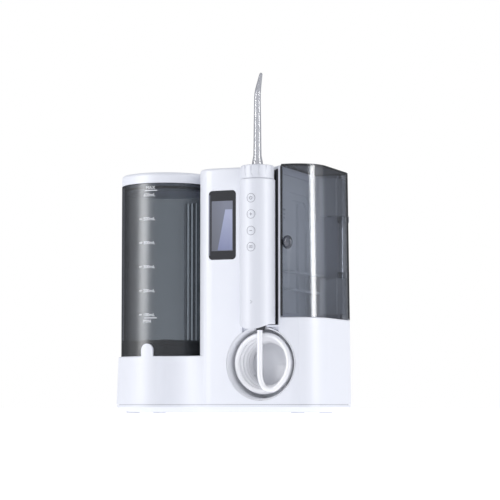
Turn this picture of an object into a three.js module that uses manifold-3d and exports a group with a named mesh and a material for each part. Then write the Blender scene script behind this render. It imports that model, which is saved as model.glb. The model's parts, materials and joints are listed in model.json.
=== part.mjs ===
// Countertop water flosser: a white base with a round lift-off tank on its left, a
// column with a display, a docked handset on a coiled hose, and a tinted nozzle store.
// Millimetres. X runs to the right, Y to the back and Z up.

import * as THREE from "three";
import { mergeVertices } from "three/addons/utils/BufferGeometryUtils.js";
import Module from "manifold-3d";

const wasm = await Module();
wasm.setup();

// ---------------------------------------------------------------- driving dimensions

const GAP = 0.3; // clearance between pieces that meet
const WALL = 2.2; // housing wall
const ARC_STEP = Math.PI / 18; // angle between the points of a rounded corner
const SMOOTH = 56; // sides of a piece seen from outside
const FINE = 40; // sides of a large round piece
const COARSE = 18; // sides of a small round piece
const TINY = 10; // sides of a pin, screw or pipe

// Base and column
const SEAM_Z = 7.2; // joint between the bottom plate and the housing
const FRONT_Y = -45;
const BACK_Y = 45; // back face at the seam
const RIGHT_X = 105.5; // right face at the seam
const COLUMN_LEFT_X = -10;
const COLUMN_RIGHT_X = 70.3;
const COLUMN_TOP_Z = 213;
const SHELF_TOP_Z = 82; // top of the base under the nozzle store
const DRAFT = Math.tan((0.65 * Math.PI) / 180); // lean of the back and right faces
const CORNER_FRONT_LEFT = 17;
const CORNER_FRONT_RIGHT = 27;
const CORNER_REAR_LEFT = 7;
const TOP_FILLET = 2.5;

// Tank seat
const TANK_X = -56;
const SEAT_Z = 50; // top of the base under the tank
const SEAT_FOOT_R = 45;
const SEAT_TOP_R = 43.4;
const BRIDGE_HALF = 24; // half depth of the block that joins seat and column
const BLEND_TURN = Math.PI / 8; // how far round the seat the sweep to the column starts
const TAB_HALF = 5.5; // locating tab at the front of the tank
const TAB_TOP_Z = 61;

// Tank
const TANK_R = 41;
const TANK_BORE_R = 38.75; // 100 ml for each 21.2 mm of height
const TANK_FLOOR_Z = 63;
const TANK_TOP_Z = 203;
const LID_TOP_Z = 212.8;

// Handset and nozzle
const HANDSET_X = 52;
const HANDSET_Y = -51;
const HANDSET_R = 15.3;
const HANDSET_BOTTOM_Z = 76;
const HANDSET_TOP_Z = 200.4;
const CHIN_Z = 71.4; // lowest point of the handset's front lip
const COLLAR_R = 14.4;
const COLLAR_TOP_Z = 212.4;
const NOZZLE_TIP_Z = 295; // end of the bent jet
const BUTTON_R = 3.6;
const BUTTON_Z = [183.4, 169.5, 155.3, 141.5];
const BUTTON_NAMES = ["power", "plus", "minus", "mode"];

// Handset cradle in the column
const GROOVE_R = 18;
const LEDGE_Z = 75.5;
const LEDGE_T = 1.6;

// Hose and its bay
const BAY_X = 52.3;
const BAY_Z = 42.6;
const BAY_R = 30;
const BAY_BACK_Y = -11;
const HOSE_R = 2.4;
const HOSE_Y = -44; // where the hose hangs from the handset
const COIL_R = 25.6; // middle of the front turn

// Nozzle store and its door
const DOOR_LEFT_X = 71.3;
const DOOR_TOP_Z = 214.2;
const DOOR_WALL = 2;
const HINGE_X = 97.5;
const HINGE_Y = 37;
const LIP_END = (115 * Math.PI) / 180; // the door's rounded rear lip ends at this angle
const ROD_R = 1.5;
const BLOCK_Z = [
  [87, 119],
  [175, 208],
];

// Pump
const GEAR_MODULE = 0.8;
const GEAR_TEETH = 48;
const PINION_TEETH = 12;
const CRANK_X = 30;
const CRANK_Z = 36;
const CRANK_THROW = 5;
const PUMP_Y = -6.8; // plane of the connecting rod
const MOTOR_X = CRANK_X + (GEAR_MODULE * (GEAR_TEETH + PINION_TEETH)) / 2;

// ---------------------------------------------------------------- colours

const paint = (color, roughness = 0.4, metalness = 0) => ({ color, roughness, metalness });
const WHITE = paint(0xe9ecf4, 0.35);
const LINER = paint(0xd5d9e2, 0.45);
const SMOKE = paint(0x5a616c, 0.15);
const BLACK = paint(0x1d1f25, 0.12);
const RUBBER = paint(0x34363c, 0.85);
const STEEL = paint(0xb9bcc2, 0.3, 1);
const BRASS = paint(0xc9a24a, 0.35, 1);
const BOARD = paint(0x2f6b45, 0.6);
const NYLON = paint(0xe4e0d2, 0.5);
const CLEAR = paint(0xa9acb6, 0.2);

// ---------------------------------------------------------------- solids

// A closed geometry as a manifold solid, turned right side out if need be.
function solid(geometry) {
  const bare = geometry.clone();
  bare.deleteAttribute("normal");
  bare.deleteAttribute("uv");
  const merged = mergeVertices(bare, 1e-4);
  const vertProperties = merged.attributes.position.array;
  const triVerts = new Uint32Array(merged.index.array);
  const made = new wasm.Manifold(new wasm.Mesh({ numProp: 3, vertProperties, triVerts }));
  if (made.volume() > 0) return made;
  triVerts.reverse();
  return new wasm.Manifold(new wasm.Mesh({ numProp: 3, vertProperties, triVerts }));
}

const join = (first, ...rest) => rest.reduce((whole, piece) => whole.add(piece), first);
const cut = (first, ...rest) => rest.reduce((whole, piece) => whole.subtract(piece), first);

// The largest body of a solid that a cut has left in pieces.
const largest = (made) => made.decompose().reduce((a, b) => (a.volume() > b.volume() ? a : b));

// A manifold solid as a three.js geometry.
function geometryOf(made) {
  const { vertProperties, triVerts } = made.getMesh();
  const geometry = new THREE.BufferGeometry();
  geometry.setAttribute("position", new THREE.BufferAttribute(vertProperties, 3));
  geometry.setIndex(new THREE.BufferAttribute(triVerts, 1));
  geometry.computeVertexNormals();
  return geometry;
}

// Points of a polygon whose corners [x, y, radius] are rounded.
function outline(corners) {
  const points = [];
  corners.forEach(([x, y, radius], i) => {
    const corner = new THREE.Vector2(x, y);
    const before = corners[(i + corners.length - 1) % corners.length];
    const after = corners[(i + 1) % corners.length];
    const toBefore = new THREE.Vector2(before[0] - x, before[1] - y).normalize();
    const toAfter = new THREE.Vector2(after[0] - x, after[1] - y).normalize();
    if (!radius) {
      points.push(corner);
      return;
    }
    const half = Math.acos(THREE.MathUtils.clamp(toBefore.dot(toAfter), -1, 1)) / 2;
    const middle = toBefore.clone().add(toAfter).setLength(radius / Math.sin(half)).add(corner);
    const start = toBefore.clone().multiplyScalar(radius / Math.tan(half)).add(corner);
    const from = start.sub(middle).angle();
    const turn = Math.PI - 2 * half;
    const way = Math.sign(toAfter.x * toBefore.y - toAfter.y * toBefore.x);
    const steps = Math.max(2, Math.round(turn / ARC_STEP));
    for (let k = 0; k <= steps; k++) {
      const angle = from + (way * turn * k) / steps;
      points.push(new THREE.Vector2(Math.cos(angle), Math.sin(angle)).multiplyScalar(radius).add(middle));
    }
  });
  return points;
}

const rectangle = (x0, y0, x1, y1, r = 0) =>
  outline([
    [x0, y0, r],
    [x1, y0, r],
    [x1, y1, r],
    [x0, y1, r],
  ]);

// A solid through outlines of equal length, each [z, points].
function loft(levels) {
  const count = levels[0][1].length;
  const positions = levels.flatMap(([z, points]) => points.flatMap((p) => [p.x, p.y, z]));
  const index = [];
  for (let level = 0; level + 1 < levels.length; level++) {
    for (let i = 0; i < count; i++) {
      const a = level * count + i;
      const b = level * count + ((i + 1) % count);
      index.push(a, b, a + count, b, b + count, a + count);
    }
  }
  const top = (levels.length - 1) * count;
  const topPoints = levels[levels.length - 1][1];
  THREE.ShapeUtils.triangulateShape(levels[0][1], []).forEach(([a, b, c]) => index.push(a, c, b));
  THREE.ShapeUtils.triangulateShape(topPoints, []).forEach(([a, b, c]) =>
    index.push(top + a, top + b, top + c),
  );
  const geometry = new THREE.BufferGeometry();
  geometry.setAttribute("position", new THREE.Float32BufferAttribute(positions, 3));
  geometry.setIndex(index);
  return geometry;
}

const prism = (points, z0, z1) =>
  solid(
    loft([
      [z0, points],
      [z1, points],
    ]),
  );

// The same with the outline in X and Z, or in Y and Z.
const prismY = (points, y0, y1) =>
  solid(
    loft([
      [-y1, points],
      [-y0, points],
    ]).rotateX(Math.PI / 2),
  );
const ALONG_X = new THREE.Matrix4().makeBasis(
  new THREE.Vector3(0, 1, 0),
  new THREE.Vector3(0, 0, 1),
  new THREE.Vector3(1, 0, 0),
);
const prismX = (points, x0, x1) =>
  solid(
    loft([
      [x0, points],
      [x1, points],
    ]).applyMatrix4(ALONG_X),
  );

const box = (x0, x1, y0, y1, z0, z1) =>
  solid(
    new THREE.BoxGeometry(x1 - x0, y1 - y0, z1 - z0).translate((x0 + x1) / 2, (y0 + y1) / 2, (z0 + z1) / 2),
  );

const upright = (x, y, r, z0, z1, sides = COARSE, topR = r) =>
  solid(
    new THREE.CylinderGeometry(topR, r, z1 - z0, sides)
      .rotateX(Math.PI / 2)
      .translate(x, y, (z0 + z1) / 2),
  );
const alongY = (x, z, r, y0, y1, sides = COARSE) =>
  solid(new THREE.CylinderGeometry(r, r, y1 - y0, sides).translate(x, (y0 + y1) / 2, z));
const alongX = (y, z, r, x0, x1, sides = COARSE) =>
  solid(
    new THREE.CylinderGeometry(r, r, x1 - x0, sides)
      .rotateZ(Math.PI / 2)
      .translate((x0 + x1) / 2, y, z),
  );

// A turned piece on an upright axis. The profile is a list of [radius, z].
const turned = (profile, x, y, sides = FINE) =>
  solid(
    new THREE.LatheGeometry(
      profile.map(([r, z]) => new THREE.Vector2(r, z)),
      sides,
    )
      .rotateX(Math.PI / 2)
      .translate(x, y, 0),
  );
// The same on an axis along Y. The profile is a list of [radius, y].
const turnedY = (profile, x, z, sides = FINE) =>
  solid(
    new THREE.LatheGeometry(
      profile.map(([r, y]) => new THREE.Vector2(r, y)),
      sides,
    ).translate(x, 0, z),
  );

// A round bar along a smooth path.
function pipe(path, r, steps, sides = 10) {
  const curve = new THREE.CatmullRomCurve3(path.map(([x, y, z]) => new THREE.Vector3(x, y, z)));
  const section = new THREE.Shape(
    Array.from({ length: sides }, (_, i) => {
      const angle = (2 * Math.PI * i) / sides;
      return new THREE.Vector2(r * Math.cos(angle), r * Math.sin(angle));
    }),
  );
  return solid(new THREE.ExtrudeGeometry(section, { steps, extrudePath: curve }));
}

// ---------------------------------------------------------------- shared outlines

const lean = (z) => Math.max(0, z - SEAM_Z) * DRAFT;

// Plan of the base under column and store at height z, shrunk by inset.
function basePlan(z, inset) {
  const right = RIGHT_X - lean(z) - inset;
  const back = BACK_Y - lean(z) - inset;
  const rearRight = RIGHT_X - HINGE_X - lean(z) - inset;
  return outline([
    [COLUMN_LEFT_X + inset, back, CORNER_REAR_LEFT - inset],
    [COLUMN_LEFT_X + inset, FRONT_Y + inset, CORNER_FRONT_LEFT - inset],
    [right, FRONT_Y + inset, CORNER_FRONT_RIGHT - inset],
    [right, back, rearRight],
  ]);
}

// Plan of the column at height z, shrunk by inset on every side but the right.
function columnPlan(z, inset, right = COLUMN_RIGHT_X) {
  const back = BACK_Y - lean(z) - inset;
  return outline([
    [COLUMN_LEFT_X + inset, back, CORNER_REAR_LEFT - inset],
    [COLUMN_LEFT_X + inset, FRONT_Y + inset, CORNER_FRONT_LEFT - inset],
    [right, FRONT_Y + inset, 0],
    [right, back, 0],
  ]);
}

// Plan of the store's door at height z. Its left side runs to left.
function doorPlan(z, inset, left) {
  const right = RIGHT_X - lean(z) - inset;
  const back = BACK_Y - lean(z) - inset;
  return outline([
    [left, back, 0],
    [left, FRONT_Y + inset, 0],
    [right, FRONT_Y + inset, CORNER_FRONT_RIGHT - inset],
    [right, back, RIGHT_X - HINGE_X - lean(z) - inset],
  ]);
}

// Levels of a fillet of radius r whose top is at z: [height, inset].
const filletLevels = (z, r, steps = 4) =>
  Array.from({ length: steps + 1 }, (_, i) => {
    const angle = (i / steps) * (Math.PI / 2) * 0.94;
    return [z - r + r * Math.sin(angle), r * (1 - Math.cos(angle))];
  });

const seatRadius = (z) =>
  SEAT_FOOT_R - ((SEAT_FOOT_R - SEAT_TOP_R) * (z - SEAM_Z)) / (SEAT_Z - SEAM_Z);

// Plan of the web that joins the seat's front to the column's corner in one concave sweep.
function blendPlan(z, inset) {
  const seat = seatRadius(z) - inset;
  const corner = CORNER_FRONT_LEFT - inset;
  const leaving = new THREE.Vector2(Math.sin(BLEND_TURN), -Math.cos(BLEND_TURN));
  const tank = new THREE.Vector2(TANK_X, 0);
  const cornerAt = new THREE.Vector2(COLUMN_LEFT_X, FRONT_Y).addScalar(CORNER_FRONT_LEFT);
  const between = leaving.clone().multiplyScalar(seat).add(tank).sub(cornerAt);
  const sweep = (between.lengthSq() - corner ** 2) / (2 * (corner - between.dot(leaving)));
  const centre = leaving.clone().multiplyScalar(seat + sweep).add(tank);
  const start = leaving.clone().negate().angle();
  const end = cornerAt.clone().sub(centre).angle();
  const steps = 10;
  const arc = Array.from({ length: steps + 1 }, (_, i) => {
    const angle = start + ((end - start) * i) / steps;
    return new THREE.Vector2(Math.cos(angle), Math.sin(angle)).multiplyScalar(sweep).add(centre);
  });
  const inner = [
    cornerAt.clone(),
    new THREE.Vector2(COLUMN_LEFT_X + 1, 5 - BRIDGE_HALF),
    new THREE.Vector2(COLUMN_LEFT_X - 9, 5 - BRIDGE_HALF),
    leaving.clone().multiplyScalar(seat - 6).add(tank),
  ];
  return [...arc, ...inner];
}

// ---------------------------------------------------------------- the part's group

const flosser = new THREE.Group();

function place(name, made, look) {
  const mesh = new THREE.Mesh(geometryOf(made), new THREE.MeshStandardMaterial(look));
  mesh.name = name;
  flosser.add(mesh);
}

// ---------------------------------------------------------------- base

const BOSSES = [
  [-90.2, 19.7],
  [-90.2, -19.7],
  [95, 28],
  [94, -16],
];
const FEET = [
  ["front_left", -76, -28],
  ["rear_left", -76, 28],
  ["front_right", 80, -28],
  ["rear_right", 84, 32],
];
const BAY_HOLE_R = BAY_R + 1.8;
const COVER = [-2, 96, 62, 200]; // rear cover: left, bottom, right, top
const WINDOW = [3.9, 133, 29.3, 193]; // display window: left, bottom, right, top
const LINER_BOX = [-38, 86, 39, 206]; // store liner: front, bottom, back, top
const LINER_X = 66.5;
const INLET = [69, 18, 91, 34]; // power inlet: left, bottom, right, top
const SLOT_HALF = 6; // slot in the ledge for the hose

const grown = ([x0, z0, x1, z1], by) => [x0 - by, z0 - by, x1 + by, z1 + by];

function housing() {
  const floor = SEAM_Z + GAP;
  const base = loft([
    [floor, basePlan(floor, 0)],
    [SHELF_TOP_Z - 0.6, basePlan(SHELF_TOP_Z - 0.6, 0)],
    [SHELF_TOP_Z, basePlan(SHELF_TOP_Z, 0.5)],
  ]);
  const column = loft([
    [floor, columnPlan(floor, 0)],
    ...filletLevels(COLUMN_TOP_Z, TOP_FILLET).map(([z, inset]) => [z, columnPlan(z, inset)]),
  ]);
  const backWall = loft(
    [SHELF_TOP_Z - 5, COLUMN_TOP_Z].map((z) => [
      z,
      rectangle(COLUMN_RIGHT_X - 8, BACK_Y - lean(z) - WALL, HINGE_X - 1, BACK_Y - lean(z)),
    ]),
  );
  const lipRoom = upright(
    HINGE_X,
    HINGE_Y,
    RIGHT_X - HINGE_X - lean(SHELF_TOP_Z) + GAP,
    SHELF_TOP_Z,
    COLUMN_TOP_Z + 5,
    FINE,
    RIGHT_X - HINGE_X - lean(COLUMN_TOP_Z) + GAP,
  );
  const seat = turned(
    [
      [0, floor],
      [seatRadius(floor), floor],
      [seatRadius(SEAT_Z - 1), SEAT_Z - 1],
      [SEAT_TOP_R - 0.3, SEAT_Z - 0.3],
      [SEAT_TOP_R - 1, SEAT_Z],
      [0, SEAT_Z],
    ],
    TANK_X,
    0,
    SMOOTH,
  );
  const bridge = box(TANK_X, 5, -BRIDGE_HALF, BRIDGE_HALF, floor, SEAT_Z);
  const blend = loft([
    [floor, blendPlan(floor, 0)],
    [SEAT_Z - 1, blendPlan(SEAT_Z - 1, 0)],
    [SEAT_Z - 0.3, blendPlan(SEAT_Z, 0.3)],
    [SEAT_Z, blendPlan(SEAT_Z, 1)],
  ]);
  const tab = join(
    box(TANK_X - TAB_HALF, TANK_X + TAB_HALF, -SEAT_TOP_R, -30, SEAT_Z - 1, TAB_TOP_Z - TAB_HALF),
    alongY(TANK_X, TAB_TOP_Z - TAB_HALF, TAB_HALF, -SEAT_TOP_R, -30),
  );
  const tabBand = cut(
    upright(TANK_X, 0, SEAT_TOP_R, SEAT_Z - 1, TAB_TOP_Z + 1, FINE),
    upright(TANK_X, 0, TANK_R + GAP, SEAT_Z - 2, TAB_TOP_Z + 2, FINE),
  );
  const walls = cut(join(solid(base), solid(column), solid(backWall)), lipRoom);
  const outer = join(walls, seat, bridge, solid(blend));
  const bosses = BOSSES.map(([x, y]) =>
    cut(upright(x, y, 4, floor, 30, TINY), upright(x, y, 1.7, 0, 24, TINY)),
  );
  return join(
    cut(outer, hollow(), ...openings()),
    tab.intersect(tabBand),
    ...bosses.map((boss) => boss.intersect(outer)),
  );
}

// The space inside the housing.
function hollow() {
  const baseTop = SHELF_TOP_Z - WALL;
  const columnTop = COLUMN_TOP_Z - WALL - 0.3;
  const room = join(
    solid(
      loft([
        [0, basePlan(0, WALL)],
        [baseTop, basePlan(baseTop, WALL)],
      ]),
    ),
    solid(
      loft([
        [0, columnPlan(0, WALL, LINER_X - WALL)],
        [columnTop, columnPlan(columnTop, WALL, LINER_X - WALL)],
      ]),
    ),
    upright(TANK_X, 0, SEAT_FOOT_R - WALL, 0, SEAT_Z - WALL, FINE, SEAT_TOP_R - WALL),
    box(TANK_X, 5, WALL - BRIDGE_HALF, BRIDGE_HALF - WALL, 0, SEAT_Z - WALL),
    solid(
      loft([
        [0, blendPlan(0, WALL)],
        [SEAT_Z - WALL, blendPlan(SEAT_Z - WALL, WALL)],
      ]),
    ),
  );
  const aroundGroove = upright(HANDSET_X, HANDSET_Y, GROOVE_R + WALL, LEDGE_Z - LEDGE_T, COLUMN_TOP_Z, FINE);
  const aroundRecess = box(HANDSET_X - 19, HANDSET_X + 19, FRONT_Y, -39.8, 60, LEDGE_Z);
  return cut(room, aroundGroove, aroundRecess);
}

// Everything cut through the housing's walls.
function openings() {
  const [coverLeft, coverBottom, coverRight, coverTop] = grown(COVER, GAP);
  const [windowLeft, windowBottom, windowRight, windowTop] = grown(WINDOW, 0.2);
  const [linerFront, linerBottom, linerBack, linerTop] = grown(LINER_BOX, GAP);
  const [inletLeft, inletBottom, inletRight, inletTop] = grown(INLET, GAP);
  return [
    upright(HANDSET_X, HANDSET_Y, GROOVE_R, LEDGE_Z, COLUMN_TOP_Z + 5, SMOOTH),
    alongY(BAY_X, BAY_Z, BAY_HOLE_R, FRONT_Y - 5, BAY_BACK_Y + 2, FINE),
    box(HANDSET_X - 17, HANDSET_X + 17, FRONT_Y - 1, -42, 60, LEDGE_Z - LEDGE_T),
    join(
      box(HANDSET_X - SLOT_HALF, HANDSET_X + SLOT_HALF, FRONT_Y - 1, HOSE_Y, 60, LEDGE_Z + 1),
      upright(HANDSET_X, HOSE_Y, SLOT_HALF, 60, LEDGE_Z + 1),
    ),
    prismY(rectangle(coverLeft, coverBottom, coverRight, coverTop, 4), 30, BACK_Y + 2),
    prismY(rectangle(windowLeft, windowBottom, windowRight, windowTop, 3.5), FRONT_Y - 2, FRONT_Y + 4),
    box(LINER_X - GAP, COLUMN_RIGHT_X + 2, linerFront, linerBack, linerBottom, linerTop),
    prismY(rectangle(inletLeft, inletBottom, inletRight, inletTop, 2), 30, BACK_Y + 2),
    upright(TANK_X, 0, 6.6, SEAT_Z - 5, SEAT_Z + 5),
  ];
}

// Tray that closes the housing from below, with a chamfered skirt.
function bottomPlate() {
  const steps = [
    [0.7, 5],
    [5.3, 0.4],
    [SEAM_Z, 0.4],
  ];
  const tray = join(
    solid(loft(steps.map(([z, inset]) => [z, basePlan(0, inset)]))),
    turned(
      [[0, 0.7], ...steps.map(([z, inset]) => [SEAT_FOOT_R - inset, z]), [0, SEAM_Z]],
      TANK_X,
      0,
      SMOOTH,
    ),
    prism(rectangle(TANK_X, 3 - BRIDGE_HALF, 5, BRIDGE_HALF - 3), 0.7, SEAM_Z),
    solid(loft(steps.map(([z, inset]) => [z, blendPlan(SEAM_Z, inset)]))),
  );
  const room = join(
    prism(basePlan(0, 6), 2.9, SEAM_Z + 1),
    upright(TANK_X, 0, SEAT_FOOT_R - 6, 2.9, SEAM_Z + 1, FINE),
    box(TANK_X, 5, 8 - BRIDGE_HALF, BRIDGE_HALF - 8, 2.9, SEAM_Z + 1),
    prism(blendPlan(SEAM_Z, 6), 2.9, SEAM_Z + 1),
  );
  const posts = BOSSES.map(([x, y]) => upright(x, y, 5.2, 1.5, SEAM_Z, TINY).intersect(tray));
  const holes = BOSSES.flatMap(([x, y]) => [
    upright(x, y, 1.8, 0, SEAM_Z + 1, TINY),
    upright(x, y, 3.1, 0, 3.3, TINY),
  ]);
  const pads = FEET.map(([, x, y]) => upright(x, y, 6.3, 0, 2, COARSE));
  return cut(join(cut(tray, room), ...posts), ...holes, ...pads);
}

place("housing", largest(housing()), WHITE);
place("bottom_plate", bottomPlate(), WHITE);
FEET.forEach(([name, x, y]) => place(`foot_${name}`, upright(x, y, 6, 0, 1.7, COARSE, 5.7), RUBBER));
BOSSES.forEach(([x, y], i) =>
  place(`base_screw_${i + 1}`, join(upright(x, y, 2.8, 1, 3, TINY), upright(x, y, 1.4, 2, 20, TINY)), STEEL),
);

// Rear cover, which leans with the back face.
function rearCover() {
  const plate = loft(
    [COVER[1], COVER[3]].map((z) => [
      z,
      rectangle(COVER[0], BACK_Y - lean(z) - WALL, COVER[2], BACK_Y - lean(z)),
    ]),
  );
  const shape = prismY(rectangle(...COVER, 4), 30, BACK_Y + 2);
  return cut(solid(plate).intersect(shape), ...REAR_SCREWS.map(([x, z]) => alongY(x, z, 1.8, 30, 50, TINY)));
}
const REAR_SCREWS = [
  [30, 102],
  [30, 194],
];
place("rear_cover", rearCover(), WHITE);
REAR_SCREWS.forEach(([x, z], i) =>
  place(`rear_screw_${i + 1}`, alongY(x, z, 1.4, BACK_Y - lean(z) - 8, BACK_Y - lean(z) - 0.3, TINY), STEEL),
);

// ---------------------------------------------------------------- display

place("display_window", prismY(rectangle(...WINDOW, 3.3), FRONT_Y - 0.1, FRONT_Y + 1.4), BLACK);
place(
  "display_module",
  join(
    box(5.5, 27.7, FRONT_Y + 1.8, FRONT_Y + 5, 136, 190),
    box(3, 30, FRONT_Y + 5, FRONT_Y + 6.6, 131, 194),
  ),
  BOARD,
);

// ---------------------------------------------------------------- nozzle store

// Side wall of the store with two arched recesses, a rib and vents.
function storeLiner() {
  const [front, bottom, back, top] = LINER_BOX;
  const arch = (y0, y1, z1, r) => [
    [y0, bottom + 1, 1],
    [y1, bottom + 1, 1],
    [y1, z1, r],
    [y0, z1, r],
  ];
  const plate = prismX(rectangle(front, bottom, back, top), LINER_X, COLUMN_RIGHT_X);
  const wide = prismX(outline(arch(front + 1.2, 30, 192, 12)), COLUMN_RIGHT_X - 1, COLUMN_RIGHT_X + 1);
  const deep = prismX(outline(arch(-18, 24, 186, 7)), LINER_X + 1, COLUMN_RIGHT_X + 1);
  const rib = box(LINER_X + 0.5, COLUMN_RIGHT_X - 0.5, 2, 4.5, bottom + 0.5, 184);
  const vents = [168, 171.5, 175].map((z) => box(LINER_X - 1, 72, -35, -30, z, z + 1.4));
  return cut(join(cut(plate, wide, deep), rib), ...vents);
}
place("store_liner", storeLiner(), LINER);

const RACK_WIDTH = 9.6;
// Rack whose edge is scalloped to hold spare nozzles.
function tipRack(z) {
  const left = COLUMN_RIGHT_X + GAP;
  const back = BACK_Y - lean(z) - WALL - GAP;
  const plate = prism(
    outline([
      [left, -36, 0],
      [left + RACK_WIDTH, -36, 3],
      [left + RACK_WIDTH, back, 0],
      [left, back, 0],
    ]),
    z,
    z + 1.8,
  );
  const sideNotches = [-27, -13, 1, 15].map((y) => upright(left + RACK_WIDTH, y, 3.8, z - 1, z + 3, TINY));
  return cut(plate, ...sideNotches);
}
place("tip_rack_upper", tipRack(121), LINER);
place("tip_rack_lower", tipRack(105.5), LINER);

// Block that reaches round the door's lip and holds the hinge rod.
function hingeBlock([z0, z1]) {
  const back = BACK_Y - lean(z1) - WALL - GAP;
  const body = join(
    box(80.5, 95.8, 27, 32.4, z0, z1),
    box(80.5, 84.2, 27, back, z0, z1),
    box(HINGE_X - 3, HINGE_X + 3, 31, HINGE_Y, z0, z1),
    upright(HINGE_X, HINGE_Y, 3.6, z0, z1, COARSE),
  );
  return cut(body, upright(HINGE_X, HINGE_Y, ROD_R + GAP, z0 - 1, z1 + 1, TINY));
}
place("hinge_block_lower", hingeBlock(BLOCK_Z[0]), LINER);
place("hinge_block_upper", hingeBlock(BLOCK_Z[1]), LINER);
place("hinge_rod", upright(HINGE_X, HINGE_Y, ROD_R, BLOCK_Z[0][0], BLOCK_Z[1][1], TINY), STEEL);

// Tinted door: front, side and top in one shell, with knuckles on the hinge rod.
function storeDoor() {
  const z0 = SHELF_TOP_Z + GAP;
  const far = 60;
  const shell = solid(
    loft([
      [z0, doorPlan(z0, 0, far)],
      ...filletLevels(DOOR_TOP_Z, 1.2, 3).map(([z, inset]) => [z, doorPlan(z, inset, far)]),
    ]),
  );
  const inner = DOOR_TOP_Z - DOOR_WALL;
  const room = solid(
    loft([
      [z0 - 5, doorPlan(z0, DOOR_WALL, far)],
      [inner, doorPlan(inner, DOOR_WALL, far)],
    ]),
  );
  const lipX = HINGE_X + (RIGHT_X - HINGE_X) * Math.cos(LIP_END);
  const behind = box(far, lipX, 40, BACK_Y + 5, z0 - 5, DOOR_TOP_Z + 5);
  const lipRound = upright(
    HINGE_X,
    HINGE_Y,
    RIGHT_X - HINGE_X - lean(z0),
    z0,
    DOOR_TOP_Z,
    SMOOTH,
    RIGHT_X - HINGE_X - lean(DOOR_TOP_Z),
  );
  const offLip = cut(box(lipX, HINGE_X, HINGE_Y, BACK_Y + 5, z0, DOOR_TOP_Z), lipRound);
  const beside = box(far - 1, DOOR_LEFT_X, FRONT_Y - 9, BACK_Y + 5, z0 - 5, DOOR_TOP_Z + 5);
  const knuckles = [
    [119.4, 125],
    [169, 174.6],
  ].map(([low, high]) => {
    const arm = box(HINGE_X - 1.5, RIGHT_X - 1.5, HINGE_Y - 2, HINGE_Y + 2, low, high);
    const bore = upright(HINGE_X, HINGE_Y, ROD_R + GAP, low - 1, high + 1, TINY);
    return cut(join(upright(HINGE_X, HINGE_Y, 3.6, low, high), arm), bore);
  });
  const pull = new THREE.SphereGeometry(1, 18, 10);
  const bulge = solid(pull.clone().scale(6, 4, 6).translate(DOOR_LEFT_X + 4.5, FRONT_Y + 0.6, 146.6));
  const dimple = solid(pull.clone().scale(4.6, 2.8, 4.6).translate(DOOR_LEFT_X + 4.2, FRONT_Y, 146.6));
  const frontSide = box(DOOR_LEFT_X, 90, FRONT_Y, 0, 100, 190);
  const walls = join(cut(shell, room, behind, beside, offLip), bulge.intersect(frontSide), ...knuckles);
  return cut(walls, dimple);
}
place("store_door", storeDoor(), SMOKE);

// ---------------------------------------------------------------- cradle and hose bay

// Soft lining of the groove behind the handset.
function cradlePad() {
  const ring = cut(
    upright(HANDSET_X, HANDSET_Y, GROOVE_R - GAP, LEDGE_Z + 1, COLUMN_TOP_Z - 3, SMOOTH),
    upright(HANDSET_X, HANDSET_Y, GROOVE_R - 1.4, LEDGE_Z, COLUMN_TOP_Z, SMOOTH),
  );
  return ring.intersect(box(30, 75, FRONT_Y + 0.8, 0, LEDGE_Z, COLUMN_TOP_Z));
}
place("cradle_pad", cradlePad(), RUBBER);

// Round cup that the coiled hose lies in, open to the front.
function hoseBayCup() {
  const front = FRONT_Y + 0.2;
  const cup = turnedY(
    [
      [0, BAY_BACK_Y + 1.5],
      [BAY_HOLE_R - GAP, BAY_BACK_Y + 1.5],
      [BAY_HOLE_R - GAP, front],
      [BAY_HOLE_R - 0.7, front],
      [BAY_R, front + 2.5],
      [BAY_R, BAY_BACK_Y],
      [0, BAY_BACK_Y],
    ].reverse(),
    BAY_X,
    BAY_Z,
    SMOOTH,
  );
  const slot = box(HANDSET_X - SLOT_HALF, HANDSET_X + SLOT_HALF, FRONT_Y - 1, -38, 66, 80);
  return cut(cup, slot, alongY(FITTING_X, BAY_Z, 3.1, BAY_BACK_Y - 1, BAY_BACK_Y + 3, TINY));
}
const FITTING_X = BAY_X + 22;
place("hose_bay_cup", hoseBayCup(), WHITE);

place(
  "hose_fitting",
  join(
    alongY(FITTING_X, BAY_Z, 4.4, BAY_BACK_Y - 1.6, BAY_BACK_Y - GAP, COARSE),
    alongY(FITTING_X, BAY_Z, 2.8, BAY_BACK_Y - 1, BAY_BACK_Y + 3.5, TINY),
  ),
  NYLON,
);

// The turns of the hose as one ring, and the stretch that hangs from the handset.
const COIL_FRONT_Y = -42.7;
const COIL_BACK_Y = -13.2;
place(
  "hose_coil",
  turnedY(
    [
      [COIL_R - HOSE_R - 5, COIL_BACK_Y],
      [COIL_R - HOSE_R - 1, COIL_FRONT_Y],
      [COIL_R + HOSE_R, COIL_FRONT_Y],
      [COIL_R + HOSE_R, COIL_BACK_Y],
      [COIL_R - HOSE_R - 5, COIL_BACK_Y],
    ],
    BAY_X,
    BAY_Z,
    FINE,
  ),
  WHITE,
);
const GLAND_BOTTOM_Z = 71.2;
place(
  "hose_drop",
  pipe(
    [
      [HANDSET_X, HOSE_Y - 1.4, GLAND_BOTTOM_Z - GAP],
      [HANDSET_X, HOSE_Y - 1.5, 58],
      [HANDSET_X, HOSE_Y - 1.5, 44],
      [HANDSET_X, HOSE_Y - 1.5, 33],
      [HANDSET_X + 1.6, HOSE_Y - 1.5, 26.5],
      [HANDSET_X + 6.2, HOSE_Y - 1.5, 21.4],
    ],
    HOSE_R,
    18,
    8,
  ),
  WHITE,
);

// ---------------------------------------------------------------- pump

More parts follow.
